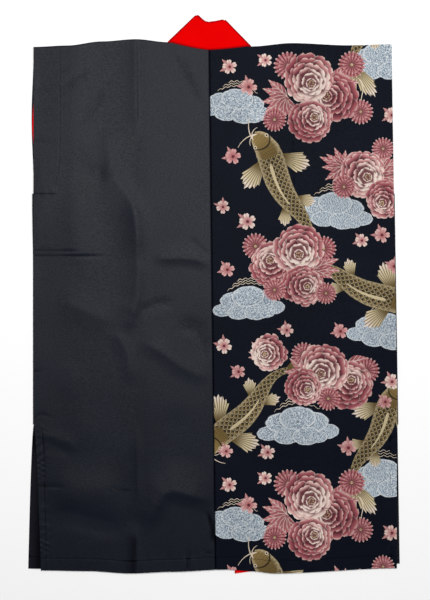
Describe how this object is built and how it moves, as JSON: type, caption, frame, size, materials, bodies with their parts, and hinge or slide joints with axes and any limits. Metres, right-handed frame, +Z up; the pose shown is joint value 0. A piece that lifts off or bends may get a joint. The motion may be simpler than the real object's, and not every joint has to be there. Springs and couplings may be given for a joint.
{
  "type": "sleeveless festival coat",
  "caption": "Sleeveless happi-style dance coat laid flat with its back up: plain dark satin on its left, a bold print on its right, and a red collar.",
  "frame": {"origin": "middle of the footprint, on the surface that the coat lies on", "axes": "+X to the right of the coat as seen from above, +Y from the hem towards the collar, +Z up out of the back"},
  "size_m": [0.6637, 0.9991, 0.007],
  "materials": {
    "plain_satin": "charcoal-black satin with a fine rib and a soft sheen",
    "printed_satin": "navy-black satin printed with rose blossoms, pale blue clouds and olive-gold carp",
    "red_cloth": "bright red plain-weave cloth, matt"
  },
  "bodies": {
    "root": {"body_left": "plain_satin", "body_right": "printed_satin", "collar": "red_cloth", "armhole_facing": "red_cloth"}
  },
  "joints": []
}
